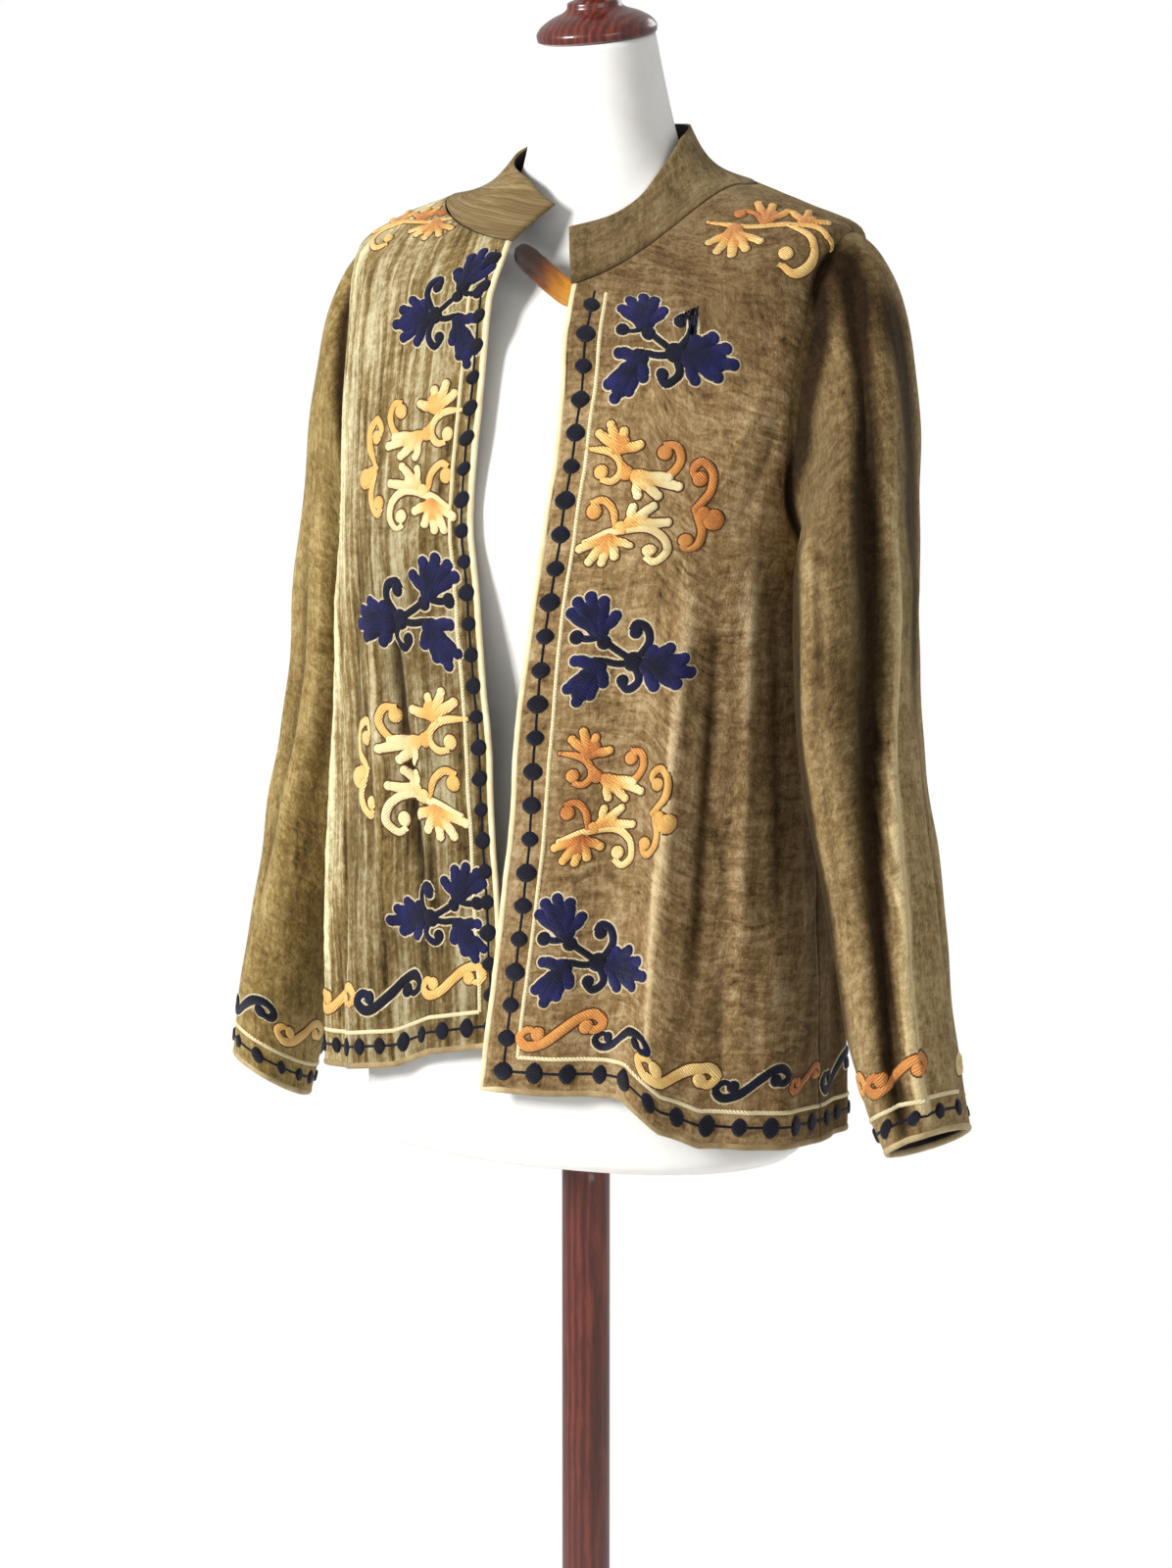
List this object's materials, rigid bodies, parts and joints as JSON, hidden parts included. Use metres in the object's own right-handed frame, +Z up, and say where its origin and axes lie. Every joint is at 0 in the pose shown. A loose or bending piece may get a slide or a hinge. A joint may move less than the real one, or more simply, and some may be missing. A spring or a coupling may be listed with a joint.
{
  "type": "embroidered stand-collar jacket on a limbless dress form",
  "caption": "Loose hip-length velvet jacket with a stand collar, open front, bound edges and long sleeves, hanging on a limbless dress form with a turned cap and round stand.",
  "frame": {"origin": "centre of the whole box at the floor", "axes": "+Z up; the jacket's open front faces -Y; the wearer's left is +X"},
  "size_m": [0.5952, 0.34, 1.5222],
  "materials": {
    "velvet": "brushed olive-khaki velvet, pale nap streaks, darker taupe in the folds",
    "binding_cloth": "pale cream bound edge",
    "amber_tab": "amber-coloured cloth tab, satin",
    "form_cloth": "off-white jersey stretched over the form",
    "wood": "turned wood, reddish-brown gloss lacquer"
  },
  "bodies": {
    "root": {"front_left": "velvet", "front_right": "velvet", "back": "velvet", "sleeve_left": "velvet", "sleeve_right": "velvet", "collar": "velvet", "binding_front_left": "binding_cloth", "binding_front_right": "binding_cloth", "binding_back": "binding_cloth", "binding_cuff_left": "binding_cloth", "binding_cuff_right": "binding_cloth", "neck_tab": "amber_tab", "form_torso": "form_cloth", "neck_cap": "wood", "stand_pole": "wood", "stand_base": "wood"}
  },
  "joints": []
}
